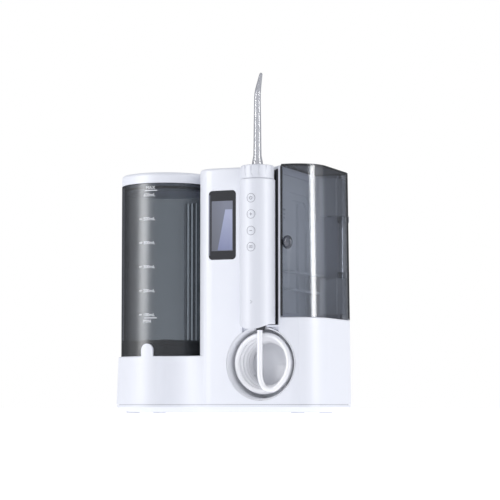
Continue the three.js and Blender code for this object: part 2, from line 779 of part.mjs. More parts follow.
// Spur gear outline with trapezoid teeth.
function gearOutline(teeth, turn = 0) {
  const pitch = (GEAR_MODULE * teeth) / 2;
  const [root, tip] = [pitch - 1.15 * GEAR_MODULE, pitch + 0.75 * GEAR_MODULE];
  const profile = [
    [-0.3, root],
    [-0.13, tip],
    [0.13, tip],
    [0.3, root],
  ];
  return Array.from({ length: teeth }, (_, i) => i).flatMap((i) =>
    profile.map(([share, r]) => {
      const angle = turn + ((i + share) * 2 * Math.PI) / teeth;
      return new THREE.Vector2(r * Math.cos(angle), r * Math.sin(angle));
    }),
  );
}
const shifted = (points, x, z) => points.map((p) => new THREE.Vector2(p.x + x, p.y + z));

const GEAR_Y = [-1.5, 4.5];
const crankGear = join(
  cut(
    prismY(shifted(gearOutline(GEAR_TEETH), CRANK_X, CRANK_Z), ...GEAR_Y),
    alongY(CRANK_X, CRANK_Z, 2.3, -9, 9, TINY),
  ),
  alongY(CRANK_X - CRANK_THROW, CRANK_Z, 1.8, PUMP_Y + 1.9, 0, TINY),
);
place("crank_gear", crankGear, NYLON);
place("gear_axle", alongY(CRANK_X, CRANK_Z, 2, GEAR_Y[0] + 0.2, 12, TINY), STEEL);

// The pinion has a gap where the gear has a tooth on the line of centres.
const pinion = join(
  prismY(shifted(gearOutline(PINION_TEETH, Math.PI / PINION_TEETH), MOTOR_X, CRANK_Z), ...GEAR_Y),
  alongY(MOTOR_X, CRANK_Z, 1.2, GEAR_Y[0] - 1, 8, TINY),
);
place("motor_pinion", pinion, BRASS);

const pumpFrame = cut(
  join(box(12, 70, 5.2, 7.4, 5, 58), box(12, 70, 5.2, 20, 3.3, 5.6)),
  alongY(CRANK_X, CRANK_Z, 2.3, 0, 15, TINY),
  alongY(MOTOR_X, CRANK_Z, 5, 0, 15, TINY),
);
place("pump_frame", pumpFrame, STEEL);
place(
  "motor",
  join(alongY(MOTOR_X, CRANK_Z, 13, 8.4, 37, COARSE), alongY(MOTOR_X, CRANK_Z, 5.5, 37, 39.5, TINY)),
  STEEL,
);

const ROD_Y = [PUMP_Y - 1.5, PUMP_Y + 1.5];
const WRIST_X = -4;
const connectingRod = cut(
  join(
    box(WRIST_X, CRANK_X - CRANK_THROW, ...ROD_Y, CRANK_Z - 2, CRANK_Z + 2),
    alongY(CRANK_X - CRANK_THROW, CRANK_Z, 4, ...ROD_Y, TINY),
    alongY(WRIST_X, CRANK_Z, 3.2, ...ROD_Y, TINY),
  ),
  alongY(WRIST_X, CRANK_Z, 1.5, -20, 10, TINY),
);
place("connecting_rod", connectingRod, NYLON);
place("wrist_pin", alongY(WRIST_X, CRANK_Z, 1.2, PUMP_Y - 3.8, PUMP_Y + 3.8, TINY), STEEL);
place(
  "piston",
  cut(
    alongX(PUMP_Y, CRANK_Z, 5, WRIST_X - 18, WRIST_X + 3, COARSE),
    box(WRIST_X - 4, WRIST_X + 9, ROD_Y[0] - GAP, ROD_Y[1] + GAP, 20, 50),
    alongY(WRIST_X, CRANK_Z, 1.5, -20, 10, TINY),
  ),
  NYLON,
);
const CYLINDER_LEFT_X = -38;
place(
  "pump_cylinder",
  cut(
    alongX(PUMP_Y, CRANK_Z, 8, CYLINDER_LEFT_X, WRIST_X - 4, COARSE),
    alongX(PUMP_Y, CRANK_Z, 5.3, CYLINDER_LEFT_X + 3, 10, COARSE),
    alongX(PUMP_Y, CRANK_Z, 1.5, CYLINDER_LEFT_X - 1, 0, TINY),
  ),
  NYLON,
);
const VALVE_LEFT_X = -50;
const VALVE_X = (VALVE_LEFT_X + CYLINDER_LEFT_X) / 2;
place(
  "check_valve_block",
  join(
    box(VALVE_LEFT_X, CYLINDER_LEFT_X - GAP, PUMP_Y - 7, PUMP_Y + 7, CRANK_Z - 7, CRANK_Z + 7),
    upright(VALVE_X, PUMP_Y, 2.4, CRANK_Z - 10, CRANK_Z, TINY),
    alongX(PUMP_Y, CRANK_Z, 2.4, VALVE_LEFT_X - 2, VALVE_X, TINY),
  ),
  NYLON,
);
place(
  "inlet_pipe",
  pipe(
    [
      [TANK_X, 0, 43.4],
      [TANK_X - 0.4, -0.6, 40],
      [TANK_X - 1, -3.4, 37],
      [TANK_X + 1.2, PUMP_Y + 0.4, CRANK_Z],
      [VALVE_LEFT_X - 2.3, PUMP_Y, CRANK_Z],
    ],
    2.2,
    12,
  ),
  CLEAR,
);
place(
  "outlet_pipe",
  pipe(
    [
      [VALVE_X, PUMP_Y, CRANK_Z - 10.3],
      [VALVE_X, PUMP_Y, 18],
      [VALVE_X + 6, PUMP_Y + 0.5, 11.5],
      [-20, PUMP_Y + 1, 10.5],
      [20, PUMP_Y + 2, 10.5],
      [FITTING_X - 8, -4.5, 11],
      [FITTING_X, -3.4, 18],
      [FITTING_X, -3, 36],
      [FITTING_X, -3.2, BAY_Z - 2.1],
      [FITTING_X, -4.6, BAY_Z - 0.2],
      [FITTING_X, BAY_BACK_Y + 3.9, BAY_Z],
    ],
    2.2,
    28,
    8,
  ),
  CLEAR,
);

// Socket in the base that the tank's valve sits over.
place(
  "tank_socket",
  cut(
    join(
      upright(TANK_X, 0, 9, SEAT_Z + GAP, 53.5, COARSE),
      upright(TANK_X, 0, 6.2, 46, SEAT_Z + 1, COARSE),
      upright(TANK_X, 0, 2.4, 43.8, 47, TINY),
    ),
    upright(TANK_X, 0, 5, 48, 60, COARSE),
    upright(TANK_X, 0, 1.3, 40, 50, TINY),
  ),
  WHITE,
);

// ---------------------------------------------------------------- electrics

place(
  "main_board",
  join(
    box(-2, 60, 21, 22.6, 98, 186),
    box(6, 22, 18, 21.5, 150, 166),
    box(34, 52, 17, 21.5, 112, 124),
    alongY(14, 118, 5, 12, 21.5, TINY),
    alongY(44, 170, 4, 14, 21.5, TINY),
  ),
  BOARD,
);
place(
  "power_board",
  join(box(71, 94, 0, 34, 54, 55.6), box(73, 91, 8, 28, 55, 76), upright(75, 4, 2.6, 55, 68, TINY)),
  BOARD,
);
place(
  "power_inlet",
  cut(
    prismY(rectangle(...INLET, 2), BACK_Y - 14, BACK_Y - 0.6),
    prismY(rectangle(73, 21.5, 87, 30.5, 4), BACK_Y - 10, BACK_Y + 2),
  ),
  BLACK,
);

// ---------------------------------------------------------------- tank

function tankBody() {
  const skirtZ = SEAT_Z + GAP;
  const shell = turned(
    [
      [0, TANK_FLOOR_Z - 2.5],
      [TANK_BORE_R, TANK_FLOOR_Z - 2.5],
      [TANK_BORE_R, skirtZ],
      [TANK_R, skirtZ],
      [TANK_R, TANK_TOP_Z],
      [TANK_BORE_R, TANK_TOP_Z],
      [TANK_BORE_R, TANK_FLOOR_Z],
      [0, TANK_FLOOR_Z],
    ],
    TANK_X,
    0,
    SMOOTH,
  );
  const ribs = [66, 73.5, 81, 87.5].map((degrees) => {
    const angle = THREE.MathUtils.degToRad(degrees);
    const r = TANK_BORE_R - 0.6;
    return upright(TANK_X + r * Math.cos(angle), r * Math.sin(angle), 1.5, TANK_FLOOR_Z - 1, 192, 10);
  });
  return cut(join(shell, ...ribs), upright(TANK_X, 0, 2.6, 50, 70, TINY));
}
place("tank_body", tankBody(), SMOKE);

place(
  "tank_lid",
  turned(
    [
      [0, TANK_TOP_Z + 3],
      [35.4, TANK_TOP_Z + 3],
      [35.4, 196.8],
      [37.1, 196.8],
      [37.1, TANK_TOP_Z + GAP],
      [TANK_R, TANK_TOP_Z + GAP],
      [TANK_R, LID_TOP_Z - 2.6],
      [TANK_R - 0.4, LID_TOP_Z - 1.2],
      [TANK_R - 1.3, LID_TOP_Z - 0.3],
      [TANK_R - 2.8, LID_TOP_Z],
      [0, LID_TOP_Z],
    ],
    TANK_X,
    0,
    SMOOTH,
  ),
  WHITE,
);
place(
  "lid_seal",
  turned(
    [
      [37.4, 198.6],
      [38.4, 198.6],
      [38.4, 200.6],
      [37.4, 200.6],
      [37.4, 198.6],
    ],
    TANK_X,
    0,
  ),
  RUBBER,
);
place(
  "outlet_valve",
  join(
    upright(TANK_X, 0, 6, TANK_FLOOR_Z + GAP, TANK_FLOOR_Z + 2.6, COARSE),
    upright(TANK_X, 0, 2.2, 54.5, TANK_FLOOR_Z + 1, TINY),
    upright(TANK_X, 0, 4, 54.5, 55.7, TINY),
  ),
  RUBBER,
);
const SPRING_TURNS = 2.5;
const springPath = Array.from({ length: 31 }, (_, i) => {
  const angle = (i / 30) * SPRING_TURNS * 2 * Math.PI;
  return [TANK_X + 3.2 * Math.cos(angle), 3.2 * Math.sin(angle), 56.5 + (i / 30) * 3.2];
});
place("valve_spring", pipe(springPath, 0.35, 36, 5), STEEL);

// ---------------------------------------------------------------- handset

function handsetBody() {
  const barrel = join(
    upright(HANDSET_X, HANDSET_Y, HANDSET_R, CHIN_Z, HANDSET_TOP_Z - 0.5, SMOOTH),
    upright(HANDSET_X, HANDSET_Y, HANDSET_R, HANDSET_TOP_Z - 0.5, HANDSET_TOP_Z, SMOOTH, HANDSET_R - 0.5),
  );
  const bore = upright(HANDSET_X, HANDSET_Y, HANDSET_R - 2, HANDSET_BOTTOM_Z + 2.5, HANDSET_TOP_Z + 1, FINE);
  const front = HANDSET_Y - HANDSET_R;
  const lipDepth = 11;
  const sweep = Array.from({ length: 9 }, (_, i) => {
    const share = i / 8;
    const z = HANDSET_BOTTOM_Z - (HANDSET_BOTTOM_Z - CHIN_Z) * (1 - share) ** 1.6;
    return new THREE.Vector2(front + share * lipDepth, z);
  });
  const under = prismX(
    [
      new THREE.Vector2(front - 5, 60),
      new THREE.Vector2(0, 60),
      new THREE.Vector2(0, HANDSET_BOTTOM_Z),
      ...sweep.reverse(),
      new THREE.Vector2(front - 5, CHIN_Z),
    ],
    20,
    90,
  );
  const holes = BUTTON_Z.map((z) => alongY(HANDSET_X, z, BUTTON_R + GAP, -70, HANDSET_Y, COARSE));
  return cut(barrel, bore, under, upright(HANDSET_X, HOSE_Y, 3.3, 60, 90, COARSE), ...holes);
}
place("handset_body", handsetBody(), WHITE);

place(
  "hose_gland",
  join(
    upright(HANDSET_X, HOSE_Y, 3.4, GLAND_BOTTOM_Z, HANDSET_BOTTOM_Z - GAP, COARSE, 4.5),
    upright(HANDSET_X, HOSE_Y, 3, 74, 82, COARSE),
  ),
  RUBBER,
);
place(
  "water_tube",
  pipe(
    [
      [HANDSET_X, HOSE_Y, 82.3],
      [HANDSET_X, HOSE_Y - 0.6, 90],
      [HANDSET_X, HANDSET_Y + 1, 104],
      [HANDSET_X, HANDSET_Y, 118],
      [HANDSET_X, HANDSET_Y, 196],
    ],
    2.2,
    16,
  ),
  CLEAR,
);
const BOARD_Y = -59.8;
place(
  "button_board",
  join(
    box(HANDSET_X - 6, HANDSET_X + 6, BOARD_Y, BOARD_Y + 1.4, 134, 190),
    ...BUTTON_Z.map((z) =>
      box(HANDSET_X - 2.5, HANDSET_X + 2.5, BOARD_Y - 1.2, BOARD_Y + 0.5, z - 2.5, z + 2.5),
    ),
  ),
  BOARD,
);
// Each button's face follows the round of the handset, and its flange keeps it in.
BUTTON_Z.forEach((z, i) => {
  const cap = alongY(HANDSET_X, z, BUTTON_R, -70, -62.6, COARSE);
  const faced = cap.intersect(upright(HANDSET_X, HANDSET_Y, HANDSET_R + 0.1, z - 9, z + 9, SMOOTH));
  const flange = alongY(HANDSET_X, z, 4.3, -63.2, -62.2, COARSE);
  place(`button_${BUTTON_NAMES[i]}`, join(faced, flange), WHITE);
});

// Knurled collar: V flutes that open towards the top.
function collar() {
  const bottom = HANDSET_TOP_Z + GAP;
  const ring = turned(
    [
      [5.4, bottom + 8],
      [12, bottom + 8],
      [12, bottom],
      [COLLAR_R, bottom],
      [COLLAR_R, COLLAR_TOP_Z - 0.8],
      [COLLAR_R - 0.8, COLLAR_TOP_Z],
      [5.4, COLLAR_TOP_Z],
      [5.4, bottom + 8],
    ],
    HANDSET_X,
    HANDSET_Y,
    SMOOTH,
  );
  const flutes = Array.from({ length: 14 }, (_, i) => {
    const flute = new THREE.ConeGeometry(1.7, 9, 6)
      .rotateX(Math.PI / 2)
      .rotateX(Math.PI)
      .translate(COLLAR_R + 0.3, 0, COLLAR_TOP_Z - 4.3)
      .rotateZ(((i + 0.5) * 2 * Math.PI) / 14)
      .translate(HANDSET_X, HANDSET_Y, 0);
    return solid(flute);
  });
  return cut(ring, ...flutes);
}
place("collar", collar(), WHITE);

// Nozzle: a straight tapered shaft on a cone, bent back at its end.
function nozzle() {
  const sides = 16;
  const stations = [
    [0, 203.6, 4.8],
    [0, 204.8, 4.8],
    [0, 204.9, 4],
    [0, 206.3, 4],
    [0, 206.4, 4.8],
    [0, COLLAR_TOP_Z, 5.1],
    [0, 217, 4.4],
    [0, 221.5, 3.55],
    [0, 248, 3.2],
    [0, 270, 2.85],
    [0.25, NOZZLE_TIP_Z - 21, 2.8],
    [1, NOZZLE_TIP_Z - 17.5, 2.65],
    [2.5, NOZZLE_TIP_Z - 14, 2.45],
    [8.2, NOZZLE_TIP_Z - 1.9, 1.5],
    [9.1, NOZZLE_TIP_Z - 0.5, 0.9],
  ];
  const levels = stations.map(([back, z, r], i) => {
    const [b0, z0] = stations[Math.max(0, i - 1)];
    const [b1, z1] = stations[Math.min(stations.length - 1, i + 1)];
    const tilt = Math.atan2(b1 - b0, z1 - z0);
    return Array.from({ length: sides }, (_, k) => {
      const angle = (2 * Math.PI * k) / sides;
      const across = r * Math.sin(angle);
      return [
        HANDSET_X + r * Math.cos(angle),
        HANDSET_Y + back + across * Math.cos(tilt),
        z - across * Math.sin(tilt),
      ];
    });
  });
  const flat = levels.map((ring) => [0, ring.map(([x, y]) => new THREE.Vector2(x, y))]);
  const body = loft(flat);
  levels.flat().forEach(([x, y, z], i) => body.attributes.position.setXYZ(i, x, y, z));
  return solid(body);
}
place("nozzle", nozzle(), CLEAR);
place(
  "nozzle_seal",
  solid(new THREE.TorusGeometry(4.7, 0.38, 6, COARSE).translate(HANDSET_X, HANDSET_Y, 205.6)),
  RUBBER,
);

// Origin under the middle of the object's footprint, without the hose.
flosser.position.x = -(TANK_X - SEAT_FOOT_R + RIGHT_X) / 2;
flosser.position.y = -(HANDSET_Y - HANDSET_R + BACK_Y) / 2;

export default flosser;
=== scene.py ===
"""Looks of the countertop water flosser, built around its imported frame. Metres, Z up."""

import json
import math

import bmesh
import bpy
from mathutils import Euler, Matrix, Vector

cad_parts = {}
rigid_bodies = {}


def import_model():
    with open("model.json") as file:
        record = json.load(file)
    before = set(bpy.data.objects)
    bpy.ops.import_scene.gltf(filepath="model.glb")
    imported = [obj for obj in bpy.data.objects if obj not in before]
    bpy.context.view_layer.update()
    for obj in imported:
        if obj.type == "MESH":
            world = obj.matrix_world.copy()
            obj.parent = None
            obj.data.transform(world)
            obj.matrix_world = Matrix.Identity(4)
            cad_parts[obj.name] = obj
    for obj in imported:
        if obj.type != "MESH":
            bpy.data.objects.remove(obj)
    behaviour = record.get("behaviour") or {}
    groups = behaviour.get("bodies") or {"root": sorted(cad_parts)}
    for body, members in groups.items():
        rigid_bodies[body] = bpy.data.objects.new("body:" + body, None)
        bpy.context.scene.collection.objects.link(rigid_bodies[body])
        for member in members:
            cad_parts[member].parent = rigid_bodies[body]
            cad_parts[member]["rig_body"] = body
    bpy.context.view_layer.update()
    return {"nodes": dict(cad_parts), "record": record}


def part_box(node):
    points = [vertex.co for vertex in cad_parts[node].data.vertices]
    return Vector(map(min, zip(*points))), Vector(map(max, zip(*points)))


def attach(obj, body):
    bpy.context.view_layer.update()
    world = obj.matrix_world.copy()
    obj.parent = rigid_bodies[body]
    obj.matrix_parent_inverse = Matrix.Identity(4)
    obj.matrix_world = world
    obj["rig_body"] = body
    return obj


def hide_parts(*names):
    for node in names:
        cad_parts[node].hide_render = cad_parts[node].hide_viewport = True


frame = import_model()

MM = 0.001
TAU = 2 * math.pi
scene = bpy.context.scene

# ------------------------------------------------------------------ camera

AZIMUTH = math.radians(22)
PITCH = math.radians(4.5)
CAMERA_AT = Vector((685.25, -1630.35, 5)) * MM
LENS = 144

camera_data = bpy.data.cameras.new("camera")
camera_data.lens = LENS
camera_data.sensor_width = 36
camera_data.clip_start = 0.05
camera = bpy.data.objects.new("camera", camera_data)
camera.location = CAMERA_AT
camera.rotation_euler = Euler((math.pi / 2 + PITCH, 0, AZIMUTH))
scene.collection.objects.link(camera)
scene.camera = camera
scene.view_settings.view_transform = "Standard"

# ------------------------------------------------------------------ places taken from the frame


def middle(node):
    low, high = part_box(node)
    return (low + high) / 2


def size(node):
    low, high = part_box(node)
    return high - low


TANK = middle("tank_lid")
TANK_R = size("tank_body").x / 2
HANDSET = middle("handset_body")
HANDSET_R = size("handset_body").x / 2
FACE_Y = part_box("display_window")[0].y
BAY = middle("hose_coil")
BAY_FRONT, BAY_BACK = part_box("hose_coil")[0].y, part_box("hose_coil")[1].y

# ------------------------------------------------------------------ mesh helpers


def new_object(name, mesh, body):
    made = bpy.data.objects.new(name, mesh)
    scene.collection.objects.link(made)
    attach(made, body)
    return made


def mesh_from(name, points, faces, body, look, smooth=True, sharp=35):
    mesh = bpy.data.meshes.new(name)
    mesh.from_pydata([tuple(p) for p in points], [], faces)
    mesh.validate()
    made = new_object(name, mesh, body)
    mesh.materials.append(look)
    tidy_normals(mesh)
    shade(mesh, smooth, sharp)
    return made


def tidy_normals(mesh):
    work = bmesh.new()
    work.from_mesh(mesh)
    bmesh.ops.recalc_face_normals(work, faces=work.faces)
    work.to_mesh(mesh)
    work.free()


def shade(mesh, smooth=True, sharp=35):
    for polygon in mesh.polygons:
        polygon.use_smooth = smooth
    if smooth:
        mesh.set_sharp_from_angle(angle=math.radians(sharp))


JOIN_GAP = 0.004 * MM
FLAT_ANGLE = math.radians(0.6)
AREA_CHANGE_ALLOWED = 0.002
ROUNDED_ANGLE = math.radians(40)
ROUNDED_SEGMENTS = 3
SKIN_SHARP = 32


def merged(source, name, flat):
    """Copy of a CAD mesh with its split points joined and, if flat, its flat regions as single faces."""
    mesh = source.copy()
    mesh.name = name
    work = bmesh.new()
    work.from_mesh(mesh)
    bmesh.ops.remove_doubles(work, verts=work.verts, dist=JOIN_GAP)
    if flat:
        bmesh.ops.dissolve_limit(
            work, angle_limit=FLAT_ANGLE, verts=work.verts, edges=work.edges, use_dissolve_boundaries=False
        )
    work.to_mesh(mesh)
    work.free()
    return mesh


def true_area(mesh):
    mesh.calc_loop_triangles()
    return sum(triangle.area for triangle in mesh.loop_triangles)


def refined(node, look, bevel, flat=True):
    """A piece with a CAD node's shape, its edges rounded by bevel mm and its curves smooth.

    Flat regions become single faces, unless that changes the surface's area."""
    source = frame["nodes"][node]
    mesh = merged(source.data, node + "_skin", flat)
    if abs(true_area(mesh) / true_area(source.data) - 1) > AREA_CHANGE_ALLOWED:
        mesh = merged(source.data, node + "_skin", False)
    mesh.materials.clear()
    mesh.materials.append(look)
    made = new_object(node + "_skin", mesh, source["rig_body"])
    if bevel:
        edge = made.modifiers.new("rounded_edges", "BEVEL")
        edge.width = bevel * MM
        edge.segments = ROUNDED_SEGMENTS
        edge.limit_method = "ANGLE"
        edge.angle_limit = ROUNDED_ANGLE
    shade(mesh, True, SKIN_SHARP)
    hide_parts(node)


NODE_SLOTS = {row["node"]: row["material_slot"] for row in frame["record"]["subparts"]}


def ring_mesh(path, radii, sides):
    """Points and faces of a closed round bar that follows path, with a radius at each point."""
    points, faces = [], []
    count = len(path)
    side = Vector((1, 0, 0))
    for i, centre in enumerate(path):
        along = (path[min(i + 1, count - 1)] - path[max(i - 1, 0)]).normalized()
        side = (side - along * side.dot(along)).normalized()
        up = along.cross(side)
        for k in range(sides):
            angle = TAU * k / sides
            points.append(centre + (side * math.cos(angle) + up * math.sin(angle)) * radii[i])
    for i in range(count - 1):
        for k in range(sides):
            a, b = i * sides + k, i * sides + (k + 1) % sides
            faces.append((a, b, b + sides, a + sides))
    faces.append(tuple(reversed(range(sides))))
    faces.append(tuple((count - 1) * sides + k for k in range(sides)))
    return points, faces


def smooth_path(points, steps):
    """Catmull-Rom curve through points, with steps points for each stretch."""
    padded = [points[0] * 2 - points[1], *points, points[-1] * 2 - points[-2]]
    path = []
    for a, b, c, d in zip(padded, padded[1:], padded[2:], padded[3:]):
        for k in range(steps):
            t = k / steps
            square = (2 * a - 5 * b + 4 * c - d) * t * t
            cube = (3 * b - a - 3 * c + d) * t**3
            path.append(0.5 * (2 * b + (c - a) * t + square + cube))
    path.append(points[-1].copy())
    return path


# ------------------------------------------------------------------ materials


def material(name):
    made = bpy.data.materials.new(name)
    made.use_nodes = True
    nodes = made.node_tree.nodes
    nodes.clear()
    return made, nodes, made.node_tree.links


def noise_of(nodes, links, scale, detail=2.0):
    place = nodes.new("ShaderNodeTexCoord")
    noise = nodes.new("ShaderNodeTexNoise")
    noise.inputs["Scale"].default_value = scale
    noise.inputs["Detail"].default_value = detail
    links.new(place.outputs["Object"], noise.inputs["Vector"])
    return noise


def ranged(nodes, links, source, low, high):
    span = nodes.new("ShaderNodeMapRange")
    span.inputs["To Min"].default_value = low
    span.inputs["To Max"].default_value = high
    links.new(source, span.inputs["Value"])
    return span.outputs["Result"]


def plastic(name, color, rough, grain=2200, bump=0.02, tint=0.03, metallic=0.0, coat=0.0, glow=0.0):
    """Moulded or cast surface: fine grain in the bump, slow drift in gloss and colour."""
    made, nodes, links = material(name)
    out = nodes.new("ShaderNodeOutputMaterial")
    shader = nodes.new("ShaderNodeBsdfPrincipled")
    shader.inputs["Metallic"].default_value = metallic
    shader.inputs["Coat Weight"].default_value = coat
    shader.inputs["Coat Roughness"].default_value = 0.12
    shader.inputs["Emission Color"].default_value = (*color, 1)
    shader.inputs["Emission Strength"].default_value = glow
    drift = noise_of(nodes, links, 34, 3)
    links.new(ranged(nodes, links, drift.outputs["Fac"], *rough), shader.inputs["Roughness"])
    mix = nodes.new("ShaderNodeMix")
    mix.data_type = "RGBA"
    mix.inputs["A"].default_value = (*[c * (1 - tint) for c in color], 1)
    mix.inputs["B"].default_value = (*[min(1, c * (1 + tint)) for c in color], 1)
    links.new(drift.outputs["Fac"], mix.inputs["Factor"])
    links.new(mix.outputs["Result"], shader.inputs["Base Color"])
    fine = noise_of(nodes, links, grain, 1)
    relief = nodes.new("ShaderNodeBump")
    relief.inputs["Strength"].default_value = bump
    relief.inputs["Distance"].default_value = 0.1 * MM
    links.new(fine.outputs["Fac"], relief.inputs["Height"])
    links.new(relief.outputs["Normal"], shader.inputs["Normal"])
    links.new(shader.outputs["BSDF"], out.inputs["Surface"])
    return made


def tinted(name, through, edge, falloff, rough, shine, haze, haze_color):
    """Clear tinted plastic: see-through, darker where it is seen at a slant, with a polished surface."""
    made, nodes, links = material(name)
    out = nodes.new("ShaderNodeOutputMaterial")
    facing = nodes.new("ShaderNodeLayerWeight")
    facing.inputs["Blend"].default_value = 0.5
    slant = nodes.new("ShaderNodeMath")
    slant.operation = "POWER"
    links.new(facing.outputs["Facing"], slant.inputs[0])
    slant.inputs[1].default_value = falloff
    tone = nodes.new("ShaderNodeMix")
    tone.data_type = "RGBA"
    tone.inputs["A"].default_value = (*through, 1)
    tone.inputs["B"].default_value = (*edge, 1)
    links.new(slant.outputs[0], tone.inputs["Factor"])
    clear = nodes.new("ShaderNodeBsdfTransparent")
    links.new(tone.outputs["Result"], clear.inputs["Color"])
    body = nodes.new("ShaderNodeBsdfDiffuse")
    body.inputs["Color"].default_value = (*haze_color, 1)
    cloudy = nodes.new("ShaderNodeMixShader")
    drift = noise_of(nodes, links, 30, 2)
    links.new(ranged(nodes, links, drift.outputs["Fac"], haze * 0.8, haze * 1.2), cloudy.inputs[0])
    links.new(clear.outputs[0], cloudy.inputs[1])
    links.new(body.outputs[0], cloudy.inputs[2])
    polish = nodes.new("ShaderNodeBsdfGlossy")
    links.new(ranged(nodes, links, drift.outputs["Fac"], *rough), polish.inputs["Roughness"])
    surface = nodes.new("ShaderNodeMixShader")
    links.new(ranged(nodes, links, slant.outputs[0], *shine), surface.inputs[0])
    links.new(cloudy.outputs[0], surface.inputs[1])
    links.new(polish.outputs[0], surface.inputs[2])
    links.new(surface.outputs[0], out.inputs["Surface"])
    return made


WHITE = plastic("white_plastic", (0.80, 0.82, 0.885), (0.42, 0.5), bump=0.015, tint=0.006)
WHITE_HANDLE = plastic("white_handle_plastic", (0.745, 0.765, 0.83), (0.44, 0.52), bump=0.012, tint=0.006)
LINER = plastic("store_liner_plastic", (0.82, 0.845, 0.87), (0.42, 0.5), bump=0.03, tint=0.02)
CUP = plastic("hose_bay_plastic", (0.84, 0.855, 0.90), (0.34, 0.42), bump=0.015, tint=0.008)
HOSE = plastic("hose_pvc", (0.93, 0.935, 0.965), (0.28, 0.36), grain=1400, bump=0.03, tint=0.01, coat=0.1)
RUBBER = plastic("dark_rubber", (0.03, 0.032, 0.038), (0.7, 0.85), grain=1200, bump=0.12, tint=0.1)
STEEL = plastic(
    "bright_steel", (0.6, 0.61, 0.63), (0.22, 0.34), grain=900, bump=0.04, tint=0.03, metallic=1.0
)
BRASS = plastic(
    "machined_brass", (0.62, 0.43, 0.16), (0.25, 0.35), grain=900, bump=0.04, tint=0.04, metallic=1.0
)
BOARD = plastic("circuit_board", (0.03, 0.16, 0.08), (0.4, 0.5), grain=500, bump=0.1, tint=0.12)
NYLON = plastic("natural_nylon", (0.7, 0.67, 0.56), (0.4, 0.5), grain=1500, bump=0.05, tint=0.03)
BLACK = plastic("black_panel", (0.012, 0.013, 0.018), (0.06, 0.1), bump=0.004, tint=0.08, coat=0.6)
SEAM = plastic("seam_shadow_line", (0.30, 0.31, 0.36), (0.5, 0.6), tint=0.05)
PRINT_GREY = plastic("grey_print", (0.20, 0.205, 0.25), (0.5, 0.6), tint=0.04)
PRINT_WHITE = plastic("white_print", (0.86, 0.88, 0.93), (0.45, 0.55), tint=0.02)
SMOKE = tinted(
    "smoke_plastic", (0.60, 0.625, 0.65), (0.08, 0.085, 0.11), 1.0, (0.26, 0.34), (0.045, 0.06), 0.05,
    (0.2, 0.22, 0.26),
)
SMOKE_DOOR = tinted(
    "smoke_door_plastic", (0.73, 0.745, 0.775), (0.05, 0.055, 0.07), 3.0, (0.12, 0.17), (0.055, 0.07), 0.05,
    (0.22, 0.24, 0.28),
)
NOZZLE = tinted(
    "nozzle_plastic", (0.90, 0.905, 0.925), (0.10, 0.105, 0.13), 1.3, (0.05, 0.08), (0.06, 0.12), 0.4,
    (0.40, 0.41, 0.46),
)
PIPE = tinted(
    "clear_pipe", (0.85, 0.87, 0.9), (0.5, 0.52, 0.56), 1.0, (0.05, 0.08), (0.05, 0.2), 0.1,
    (0.5, 0.52, 0.56),
)
RUBBER_LIGHT = plastic("pale_rubber", (0.72, 0.73, 0.78), (0.6, 0.7), grain=1200, bump=0.08, tint=0.03)
# Glowing white paints highlights: the bright rib edges in the tank and the bright edges beside the store's
# hinge blocks.
GLOWING_HIGHLIGHT = plastic("painted_edge_highlight", (0.88, 0.92, 0.95), (0.2, 0.3), tint=0.02, glow=0.6)
# Dark tint paints shade: beside the tank's ribs and along the edge of its floor.
PAINTED_SHADE = tinted(
    "painted_edge_shade", (0.22, 0.23, 0.26), (0.05, 0.05, 0.06), 1.0, (0.2, 0.3), (0.02, 0.04), 0.3,
    (0.03, 0.03, 0.035),
)
# Dark tint paints the shade in the tank's foot, under its floor.
FOOT_SHADE = tinted(
    "painted_foot_shade", (0.5, 0.52, 0.56), (0.1, 0.1, 0.12), 1.0, (0.3, 0.4), (0.02, 0.04), 0.3,
    (0.05, 0.055, 0.065),
)
# Dark tint along the door's edges; the same material paints the shade line under the store's upper ledge.
EDGE_DARK = tinted(
    "door_edge_tint_and_ledge_shade", (0.10, 0.105, 0.12), (0.02, 0.02, 0.025), 1.0, (0.2, 0.3), (0.02, 0.04), 0.5,
    (0.02, 0.02, 0.024),
)
PULL = tinted(
    "finger_pull_smoke", (0.62, 0.63, 0.66), (0.02, 0.02, 0.025), 1.5, (0.04, 0.08), (0.08, 0.14), 0.1,
    (0.3, 0.31, 0.35),
)

SLOT_MATERIALS = {
    "white_shell": WHITE,
    "store_grey": LINER,
    "smoke_clear": SMOKE,
    "black_gloss": BLACK,
    "rubber_dark": RUBBER,
    "rubber_light": RUBBER_LIGHT,
    "steel": STEEL,
    "brass": BRASS,
    "circuit_board": BOARD,
    "nylon": NYLON,
    "clear_plastic": PIPE,
    "hose_white": HOSE,
}
for node_name, node_object in frame["nodes"].items():
    node_object.data.materials.clear()
    node_object.data.materials.append(SLOT_MATERIALS[NODE_SLOTS[node_name]])

# ------------------------------------------------------------------ hose


